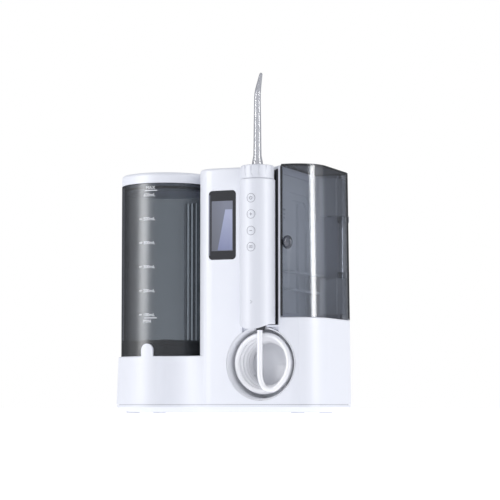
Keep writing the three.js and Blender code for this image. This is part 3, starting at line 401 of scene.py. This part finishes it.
def hose_route():
    """From the handset's gland straight down, then nearly six turns from the bay's front to its back."""
    drop_x, drop_y = HANDSET.x, BAY_FRONT - 2.8 * MM
    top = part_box("hose_gland")[0].z
    # The first turn is joined at five o'clock and runs up the right side, over the top and down the left.
    points = [
        Vector((drop_x, drop_y + 0.1 * MM, top - 0.1 * MM)),
        Vector((drop_x, drop_y, 0.064)),
        Vector((drop_x, drop_y, 0.056)),
        Vector((drop_x, drop_y, 0.048)),
        Vector((drop_x, drop_y, 0.040)),
        Vector((drop_x + 0.1 * MM, drop_y, 0.033)),
        Vector((drop_x + 1.5 * MM, drop_y, 0.0266)),
        Vector((drop_x + 5.0 * MM, drop_y, 0.0216)),
    ]
    start = math.radians(-62)
    turns, per_turn = 5.75, 24
    wide, narrowing, narrowing_turns = 25.4 * MM, 4.6 * MM, 3
    step_back, step_turns = 5.2 * MM, 0.35
    depth = BAY_BACK - BAY_FRONT - 5.0 * MM
    for i in range(int(turns * per_turn) + 1):
        turn = i / per_turn
        angle = start + turn * TAU
        settle = min(1, turn / step_turns)
        radius = wide - narrowing * min(1, turn / narrowing_turns)
        y = drop_y + step_back * settle + depth * turn / turns * settle
        points.append(Vector((BAY.x + radius * math.cos(angle), y, BAY.z + radius * math.sin(angle))))
    return points


HOSE_D = size("hose_drop").y
HOSE_PATH = smooth_path(hose_route(), 3)

hose = mesh_from(
    "hose",
    *ring_mesh(HOSE_PATH, [HOSE_D / 2 * 0.98] * len(HOSE_PATH), 16),
    "root",
    HOSE,
    sharp=60,
)
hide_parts("hose_coil", "hose_drop")

# ------------------------------------------------------------------ shells

refined("housing", WHITE, bevel=0.5)
refined("bottom_plate", WHITE, bevel=0.5)
refined("rear_cover", WHITE, bevel=0.3)
refined("hose_bay_cup", CUP, bevel=0, flat=False)
refined("tank_socket", WHITE, bevel=0.2)
refined("tank_lid", WHITE, bevel=0.15)
refined("handset_body", WHITE_HANDLE, bevel=0.25)
refined("collar", WHITE_HANDLE, bevel=0.15)
for button in ("power", "plus", "minus", "mode"):
    refined("button_" + button, WHITE_HANDLE, bevel=0.25)
refined("store_liner", LINER, bevel=0.35)
refined("tip_rack_upper", LINER, bevel=0.25)
refined("tip_rack_lower", LINER, bevel=0.25)
refined("hinge_block_upper", LINER, bevel=0.4)
refined("hinge_block_lower", LINER, bevel=0.4)
refined("display_window", BLACK, bevel=0.3)
# The dark rubber pad in the handset's groove also gives the painted shade in the narrow gap beside the
# handset.
refined("cradle_pad", RUBBER, bevel=0.2)
refined("store_door", SMOKE_DOOR, bevel=0.3)
refined("tank_body", SMOKE, bevel=0.2)
for foot in ("front_left", "rear_left", "front_right", "rear_right"):
    refined("foot_" + foot, RUBBER_LIGHT, bevel=0.2)

# ------------------------------------------------------------------ parting line of the base


def section(node, z):
    """Outline of a CAD node at height z: its longest loop, in order."""
    work = bmesh.new()
    work.from_mesh(frame["nodes"][node].data)
    bmesh.ops.remove_doubles(work, verts=work.verts, dist=JOIN_GAP)
    everything = [*work.verts, *work.edges, *work.faces]
    sliced = bmesh.ops.bisect_plane(
        work, geom=everything, plane_co=(0, 0, z), plane_no=(0, 0, 1), clear_inner=True, clear_outer=True
    )
    edges = {e for e in sliced["geom_cut"] if isinstance(e, bmesh.types.BMEdge)}
    loops = []
    while edges:
        first = edges.pop()
        loop, end = [first.verts[0], first.verts[1]], first.verts[1]
        while True:
            step = next((e for e in end.link_edges if e in edges), None)
            if step is None:
                break
            edges.discard(step)
            end = step.other_vert(end)
            loop.append(end)
        loops.append([v.co.copy() for v in loop[:-1]])
    work.free()
    return max(loops, key=lambda loop: sum((b - a).length for a, b in zip(loop, loop[1:])))


def parting_line(name, node, z, low, high, depth, look, body="root"):
    """Band inside a node's outline at height z, from depth to four times depth in, for a joint's shadow."""
    loop = section(node, z)
    inner = 4 * depth
    area = sum(a.x * b.y - b.x * a.y for a, b in zip(loop, loop[1:] + loop[:1]))
    points, faces = [], []
    for i, here in enumerate(loop):
        along = (loop[(i + 1) % len(loop)] - loop[i - 1]).normalized()
        inward = Vector((-along.y, along.x, 0)) * (1 if area > 0 else -1)
        for out, height in ((depth, low), (depth, high), (inner, high), (inner, low)):
            at = here + inward * out
            points.append((at.x, at.y, height))
    count = len(loop)
    for i in range(count):
        a, b = 4 * i, 4 * ((i + 1) % count)
        faces += [(a + k, a + (k + 1) % 4, b + (k + 1) % 4, b + k) for k in range(4)]
    return mesh_from(name, points, faces, body, look, smooth=False)


PARTING_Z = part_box("bottom_plate")[1].z
PARTING_TOP = PARTING_Z + 0.6 * MM
parting_line(
    "base_parting_line", "housing", PARTING_TOP, PARTING_Z - 0.35 * MM, PARTING_TOP, 0.14 * MM, SEAM
)

# ------------------------------------------------------------------ display


def face_plate(name, x0, x1, z0, z1, y, look, slant=0.0):
    """Thin plate that faces the front. slant moves its top edge's left end to the right."""
    depth = 0.05 * MM
    corners = [(x0, z0), (x1, z0), (x1, z1), (x0 + slant, z1)]
    points = [(x, y, z) for x, z in corners] + [(x, y + depth, z) for x, z in corners]
    faces = [(0, 1, 2, 3), (7, 6, 5, 4), (0, 4, 5, 1), (1, 5, 6, 2), (2, 6, 7, 3), (3, 7, 4, 0)]
    plate = mesh_from(name, points, faces, "root", look, smooth=False)


def screen_glass(name, low, high, angle):
    """Unlit panel under glass, with a soft drift from one tone to another."""
    made, nodes, links = material(name)
    out = nodes.new("ShaderNodeOutputMaterial")
    shader = nodes.new("ShaderNodeBsdfPrincipled")
    place = nodes.new("ShaderNodeTexCoord")
    turn = nodes.new("ShaderNodeMapping")
    turn.inputs["Rotation"].default_value = (0, math.radians(angle), 0)
    wave = nodes.new("ShaderNodeTexGradient")
    mix = nodes.new("ShaderNodeMix")
    mix.data_type = "RGBA"
    mix.inputs["A"].default_value = (*low, 1)
    mix.inputs["B"].default_value = (*high, 1)
    links.new(place.outputs["Generated"], turn.inputs["Vector"])
    links.new(turn.outputs["Vector"], wave.inputs["Vector"])
    links.new(wave.outputs["Fac"], mix.inputs["Factor"])
    links.new(mix.outputs["Result"], shader.inputs["Base Color"])
    drift = noise_of(nodes, links, 60)
    links.new(ranged(nodes, links, drift.outputs["Fac"], 0.12, 0.2), shader.inputs["Roughness"])
    links.new(shader.outputs["BSDF"], out.inputs["Surface"])
    return made


WINDOW_LOW, WINDOW_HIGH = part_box("display_window")
WINDOW_X = (WINDOW_LOW.x + WINDOW_HIGH.x) / 2
SCREEN_HALF = 9.9 * MM
SCREEN_LOW, SCREEN_HIGH = WINDOW_LOW.z + 7.5 * MM, WINDOW_HIGH.z - 9 * MM
SCREEN_Y, REFLECTION_Y = FACE_Y - 0.06 * MM, FACE_Y - 0.1 * MM
EDGE_X, EDGE_MARGIN = WINDOW_LOW.x + 0.3 * MM, 3.5 * MM
SCREEN = screen_glass("screen_glass", (0.13, 0.14, 0.17), (0.22, 0.235, 0.30), 30)
SCREEN_BRIGHT = screen_glass("screen_reflection", (0.22, 0.245, 0.40), (0.42, 0.45, 0.62), 80)
face_plate(
    "display_screen",
    WINDOW_X - SCREEN_HALF,
    WINDOW_X + SCREEN_HALF,
    SCREEN_LOW,
    SCREEN_HIGH,
    SCREEN_Y,
    SCREEN,
)
face_plate(
    "display_reflection",
    WINDOW_X - 4.2 * MM,
    WINDOW_X + SCREEN_HALF - 0.4 * MM,
    SCREEN_LOW + 0.6 * MM,
    SCREEN_HIGH - 7.5 * MM,
    REFLECTION_Y,
    SCREEN_BRIGHT,
    slant=7.2 * MM,
)
face_plate(
    "display_edge_light",
    EDGE_X,
    EDGE_X + 1 * MM,
    WINDOW_LOW.z + EDGE_MARGIN,
    WINDOW_HIGH.z - EDGE_MARGIN,
    SCREEN_Y,
    SCREEN,
)

# ------------------------------------------------------------------ marks on round surfaces

CAPITAL_SHARE = 0.7  # height of a capital as a share of the font's size
BAR_STEP = 1.5 * MM
STROKE_PROUD = 0.05 * MM


def wrapped(piece, centre, radius):
    """Bends a flat piece, drawn in X and Z about X = 0, onto an upright cylinder's front."""
    for vertex in piece.data.vertices:
        across, proud, z = vertex.co
        angle = across / radius
        r = radius - proud
        vertex.co = (centre.x + r * math.sin(angle), centre.y - r * math.cos(angle), z)
    piece.data.update()


def printed(name, mesh, look, body, centre, radius):
    """A flat mesh as a piece of its own, bent onto the cylinder of the given centre and radius."""
    mesh.materials.append(look)
    piece = bpy.data.objects.new(name, mesh)
    scene.collection.objects.link(piece)
    wrapped(piece, centre, radius)
    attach(piece, body)
    return piece


def lettering(name, text, height, at, **where):
    """Flat text of the given capital height, its lower left corner at (across, z)."""
    curve = bpy.data.curves.new(name, "FONT")
    curve.body = text
    curve.size = height / CAPITAL_SHARE
    curve.extrude = 0.02 * MM
    curve.resolution_u = 3
    flat = bpy.data.objects.new(name, curve)
    scene.collection.objects.link(flat)
    bpy.context.view_layer.update()
    mesh = bpy.data.meshes.new_from_object(flat)
    bpy.data.objects.remove(flat)
    for vertex in mesh.vertices:
        x, y, z = vertex.co
        vertex.co = (at[0] + x, -z, at[1] + y)
    mesh.materials.clear()
    printed(name, mesh, **where)


def swept(name, rows, closed, **where):
    """Closed bar through rows of four corners each, which joins up with its start if closed."""
    count = len(rows)
    points = [corner for row in rows for corner in row]
    faces = []
    for i in range(count if closed else count - 1):
        a, b = 4 * i, 4 * ((i + 1) % count)
        faces += [(a + k, a + (k + 1) % 4, b + (k + 1) % 4, b + k) for k in range(4)]
    if not closed:
        faces += [(0, 1, 2, 3), (4 * count - 1, 4 * count - 2, 4 * count - 3, 4 * count - 4)]
    mesh = bpy.data.meshes.new(name)
    mesh.from_pydata(points, [], faces)
    tidy_normals(printed(name, mesh, **where).data)


def bar(name, x0, x1, z0, z1, proud=0.03, **where):
    """Thin printed bar on a cylinder."""
    steps = max(1, round((x1 - x0) / BAR_STEP))
    rows = []
    for i in range(steps + 1):
        x = x0 + (x1 - x0) * i / steps
        rows.append([(x, -proud * MM, z0), (x, -proud * MM, z1), (x, 0, z1), (x, 0, z0)])
    swept(name, rows, False, **where)


def tank_scale():
    """Generic graduations: a mark for each 100 mL, with a line at the most and at the least."""
    on_tank = dict(look=PRINT_WHITE, body="tank", centre=TANK, radius=TANK_R + 0.03 * MM)
    text_x, text_height, half_line = -4.9 * MM, 2.9 * MM, 0.3 * MM
    first, step, marks = 86.5 * MM, 21.25 * MM, 6
    for i in range(marks):
        z = first + i * step
        label = f"{(i + 1) * 100}mL"
        lettering(f"mark_{label}", label, text_height, (text_x, z - text_height / 2), **on_tank)
        if i < marks - 1:
            bar(f"dash_{label}", -9.1 * MM, -6.2 * MM, z - half_line, z + half_line, **on_tank)
    top, low = first + (marks - 1) * step + 3.8 * MM, first - 2.9 * MM
    for name, z, text_at in (
        ("max", top, (-2.6 * MM, top + 1.1 * MM)),
        ("min", low, (-4.6 * MM, low - 4.2 * MM)),
    ):
        bar(f"mark_{name}_line", -3.6 * MM, 8.4 * MM, z - half_line, z + half_line, **on_tank)
        lettering(f"mark_{name}", name.upper(), text_height, text_at, **on_tank)


tank_scale()


def tank_ribs():
    """Painted highlights and shade on the tank's moulded ribs, and painted shade in its foot and at its
    floor's edge.
    """
    bore = TANK_R - 3.7 * MM
    floor, top = 64.5 * MM, 192 * MM
    # The glowing bars are painted highlights on the ribs, and the dark bars are painted shade beside them.
    bright = [(173.2, 2.5, GLOWING_HIGHLIGHT), (167, 2.5, GLOWING_HIGHLIGHT), (158.9, 2.4, GLOWING_HIGHLIGHT)]
    dark = [(176.8, 1.6, PAINTED_SHADE), (170.1, 1.6, PAINTED_SHADE), (163.2, 1.6, PAINTED_SHADE)]
    for i, (turn, wide, look) in enumerate(bright + dark):
        start, end = math.radians(turn - wide / 2) * bore, math.radians(turn + wide / 2) * bore
        in_bore = dict(look=look, body="tank", centre=TANK, radius=bore)
        bar(f"rib_painted_light_{i + 1}", start, end, floor, top, proud=0.2, **in_bore)
    wall = TANK_R - 0.9 * MM
    around = math.pi * wall
    # A painted shade band in the foot under the floor, and a painted shade line where the floor meets the
    # wall.
    for name, low, high, look in (
        ("tank_foot_shade", 50.6 * MM, 62.4 * MM, FOOT_SHADE),
        ("tank_floor_edge_shade", 62.4 * MM, 64.1 * MM, PAINTED_SHADE),
    ):
        in_wall = dict(look=look, body="tank", centre=TANK, radius=wall)
        bar(name, -around, around, low, high, proud=0.3, **in_wall)


tank_ribs()


def stroke(name, points, width, closed, **where):
    """A drawn line of even width on a cylinder, through points given as (across, z)."""
    count = len(points)
    rows = []
    for i, (x, z) in enumerate(points):
        before = points[i - 1] if closed or i else points[i]
        after = points[(i + 1) % count] if closed or i + 1 < count else points[i]
        along = Vector((after[0] - before[0], after[1] - before[1])).normalized()
        off = Vector((-along.y, along.x)) * width / 2
        (ax, az), (bx, bz) = (x + off.x, z + off.y), (x - off.x, z - off.y)
        rows.append([(ax, -STROKE_PROUD, az), (bx, -STROKE_PROUD, bz), (bx, 0, bz), (ax, 0, az)])
    swept(name, rows, closed, **where)


def arc(x, z, r, start, end, steps):
    return [
        (x + r * math.cos(math.radians(start + (end - start) * i / steps)),
         z + r * math.sin(math.radians(start + (end - start) * i / steps)))
        for i in range(steps + 1)
    ]


def button_marks():
    """A thin ring round each button, a plain symbol on it, and a chevron on the handset below."""
    line = 0.45 * MM
    on_shell = dict(look=PRINT_GREY, body="handset", centre=HANDSET, radius=HANDSET_R + 0.02 * MM)
    for name in ("power", "plus", "minus", "mode"):
        z = middle("button_" + name).z
        ring = arc(0, z, 3.75 * MM, 0, 360, 40)[:-1]
        stroke(f"{name}_ring", ring, 0.28 * MM, True, **on_shell)
        mark = dict(look=PRINT_GREY, body="button_" + name, centre=HANDSET, radius=HANDSET_R + 0.12 * MM)
        if name == "power":
            stroke("power_arc", arc(0, z, 1.25 * MM, 125, 415, 18), line, False, **mark)
            stroke("power_line", [(0, z + 0.3 * MM), (0, z + 1.6 * MM)], line, False, **mark)
        if name == "plus":
            stroke("plus_upright", [(0, z - 1.3 * MM), (0, z + 1.3 * MM)], line, False, **mark)
        if name in ("plus", "minus"):
            stroke(f"{name}_bar", [(-1.3 * MM, z), (1.3 * MM, z)], line, False, **mark)
        if name == "mode":
            corners = [(-1.3, -0.9), (1.3, -0.9), (1.3, 0.9), (-1.3, 0.9)]
            outline = [(x * MM, z + dz * MM) for x, dz in corners]
            stroke("mode_box", outline, line, True, **mark)
            stroke("mode_tick", [(-0.5 * MM, z), (0.5 * MM, z)], line, False, **mark)
    z, half = 94.5 * MM, 1.3 * MM
    chevron = [(-0.6 * MM, z + half), (1.2 * MM, z), (-0.6 * MM, z - half)]
    stroke("slide_chevron", chevron, 0.32 * MM, False, **on_shell)


button_marks()

# ------------------------------------------------------------------ nozzle


def nozzle():
    """Straight tapered shaft on a flared foot, bent towards the back at its end."""
    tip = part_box("nozzle")[1].z / MM
    # Each station is how far back it lies, its height and its radius, in mm.
    foot = [(0, 203.6, 4.8), (0, 204.85, 4.8), (0, 204.9, 4.0), (0, 206.3, 4.0), (0, 206.35, 4.8)]
    flare = [(0, 212.4, 5.05), (0, 214, 4.8), (0, 217, 4.35), (0, 220, 3.75), (0, 221, 3.5)]
    shaft = [(0, 232, 3.35), (0, 248, 3.18), (0, 262, 2.95), (0, 270, 2.84)]
    bend = [
        (0.2, tip - 21.5, 2.8), (0.75, tip - 18.5, 2.7), (1.7, tip - 15.7, 2.5), (3.3, tip - 12, 2.2),
        (5.2, tip - 7.9, 1.85), (7.2, tip - 3.7, 1.55), (8.2, tip - 1.6, 1.35), (8.8, tip - 0.7, 0.95),
        (9.0, tip - 0.45, 0.4),
    ]
    stations = foot + flare + shaft + bend
    path = [Vector((HANDSET.x, HANDSET.y + back * MM, z * MM)) for back, z, _ in stations]
    radii = [r * MM for _, _, r in stations]
    made = mesh_from("nozzle_skin", *ring_mesh(path, radii, 40), "nozzle", NOZZLE, sharp=40)
    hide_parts("nozzle")


nozzle()

# ------------------------------------------------------------------ edges of the store's door

DOOR_LOW, DOOR_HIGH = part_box("store_door")


def square_bar(name, bottom, top, body, look):
    """Upright bar between two rows of four corners, each row anticlockwise seen from above."""
    faces = [(3, 2, 1, 0), (4, 5, 6, 7)] + [(k, (k + 1) % 4, (k + 1) % 4 + 4, k + 4) for k in range(4)]
    mesh_from(name, bottom + top, faces, body, look, smooth=False)


def door_edge(name, toward, side):
    """Dark square bar in the door's wall, up the corner that lies furthest toward a direction."""
    inset = side * 0.62
    rows = []
    for z in (DOOR_LOW.z + 1 * MM, DOOR_HIGH.z - 2.2 * MM):
        corner = max(section("store_door", z), key=lambda p: p.x * toward[0] + p.y * toward[1])
        x, y = corner.x - toward[0] * inset, corner.y - toward[1] * inset
        signs = ((-1, -1), (1, -1), (1, 1), (-1, 1))
        rows.append([(x + i * side / 2, y + j * side / 2, z) for i, j in signs])
    square_bar(name, *rows, "door", EDGE_DARK)


door_edge("door_edge_left", (-0.5, -0.866), 1.2 * MM)
door_edge("door_edge_right", (0.94, 0.34), 1.5 * MM)
parting_line(
    "door_edge_top",
    "store_door",
    DOOR_HIGH.z - 1.2 * MM,
    DOOR_HIGH.z - 1.9 * MM,
    DOOR_HIGH.z - 0.5 * MM,
    0.5 * MM,
    EDGE_DARK,
    body="door",
)


def finger_pull():
    """Polished dome over the finger pull at the door's left edge."""
    centre = Vector((DOOR_LOW.x + 4.6 * MM, DOOR_LOW.y + 3.6 * MM, 0.1466))
    radii = Vector((4.5, 3.4, 5.9)) * MM
    mesh = bpy.data.meshes.new("finger_pull_dome")
    work = bmesh.new()
    bmesh.ops.create_uvsphere(work, u_segments=32, v_segments=20, radius=1)
    for vertex in work.verts:
        vertex.co = centre + vertex.co * radii
    work.to_mesh(mesh)
    work.free()
    new_object("finger_pull_dome", mesh, "door")
    mesh.materials.append(PULL)
    shade(mesh, True, 60)


finger_pull()


def store_trim():
    """Painted highlights on moulded edges behind the door, beside the hinge blocks and clear of the door's
    turn, with painted shade under the ledge.
    """
    low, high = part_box("hinge_rod")
    rod, back = (low.x + high.x) / 2, low.y
    left, clear = rod - 12.7 * MM, rod - 8.6 * MM
    # The upright bar and the ledge bar are painted highlights; the bar under the ledge is painted shade.
    for name, x0, x1, z0, z1, look in (
        ("store_edge_highlight_upper", left - 1 * MM, left, 0.1772, 0.2085, GLOWING_HIGHLIGHT),
        ("store_ledge_highlight_upper", left, clear, 0.1768, 0.1778, GLOWING_HIGHLIGHT),
        ("store_ledge_shade", left, clear, 0.1748, 0.1765, EDGE_DARK),
    ):
        plan = ((x0, back), (x1, back), (x1, back + 1 * MM), (x0, back + 1 * MM))
        bottom, top = ([(x, y, z) for x, y in plan] for z in (z0, z1))
        square_bar(name, bottom, top, "root", look)


store_trim()

# ------------------------------------------------------------------ studio


def studio_floor():
    made, nodes, links = material("studio_floor")
    out = nodes.new("ShaderNodeOutputMaterial")
    shader = nodes.new("ShaderNodeBsdfPrincipled")
    shader.inputs["Base Color"].default_value = (0.9, 0.9, 0.92, 1)
    shader.inputs["Roughness"].default_value = 0.9
    shader.inputs["Emission Color"].default_value = (1, 1, 1, 1)
    shader.inputs["Emission Strength"].default_value = 0.5
    links.new(shader.outputs["BSDF"], out.inputs["Surface"])
    half = 6.0
    corners = [(-half, -half, 0), (half, -half, 0), (half, half, 0), (-half, half, 0)]
    mesh = bpy.data.meshes.new("studio_floor")
    mesh.from_pydata(corners, [], [(0, 1, 2, 3)])
    mesh.materials.append(made)
    floor = bpy.data.objects.new("studio_floor", mesh)
    scene.collection.objects.link(floor)


LIGHT_TARGET = Vector((0, 0, 0.11))


def softbox(name, azimuth, distance, height, width, tall, power):
    """Area light that stands at azimuth degrees round the object, counted from -Y towards +X."""
    data = bpy.data.lights.new(name, "AREA")
    data.shape = "RECTANGLE"
    data.size = width
    data.size_y = tall
    data.energy = power
    lamp = bpy.data.objects.new(name, data)
    angle = math.radians(azimuth)
    lamp.location = (distance * math.sin(angle), -distance * math.cos(angle), height)
    aim = LIGHT_TARGET - lamp.location
    lamp.rotation_euler = aim.to_track_quat("-Z", "Y").to_euler()
    scene.collection.objects.link(lamp)
    return lamp


def studio_world():
    world = bpy.data.worlds.new("studio")
    scene.world = world
    world.use_nodes = True
    nodes, links = world.node_tree.nodes, world.node_tree.links
    nodes.clear()
    out = nodes.new("ShaderNodeOutputWorld")
    seen = nodes.new("ShaderNodeBackground")
    seen.inputs["Color"].default_value = (1, 1, 1, 1)
    seen.inputs["Strength"].default_value = 1.0
    lit = nodes.new("ShaderNodeBackground")
    lit.inputs["Color"].default_value = (0.96, 0.97, 1.0, 1)
    lit.inputs["Strength"].default_value = 0.66
    path = nodes.new("ShaderNodeLightPath")
    mix = nodes.new("ShaderNodeMixShader")
    links.new(path.outputs["Is Camera Ray"], mix.inputs[0])
    links.new(lit.outputs[0], mix.inputs[1])
    links.new(seen.outputs[0], mix.inputs[2])
    links.new(mix.outputs[0], out.inputs["Surface"])


def strip(name, azimuth, width, radiance):
    """Tall narrow light that shows as a streak in polished surfaces and lights nothing else."""
    tall, distance = 1.6, 1.3
    lamp = softbox(name, azimuth, distance, 0.3, width, tall, radiance * math.pi * width * tall)
    lamp.visible_diffuse = False


CAMERA_SIDE = math.degrees(AZIMUTH)
studio_floor()
studio_world()
softbox("left_softbox", CAMERA_SIDE - 88, 1.6, 0.5, 1.2, 1.6, 6.2)
softbox("right_softbox", CAMERA_SIDE + 88, 1.6, 0.5, 1.2, 1.6, 6.2)
strip("left_strip", CAMERA_SIDE - 62, 0.5, 12)
strip("right_strip", CAMERA_SIDE + 57, 0.4, 15)
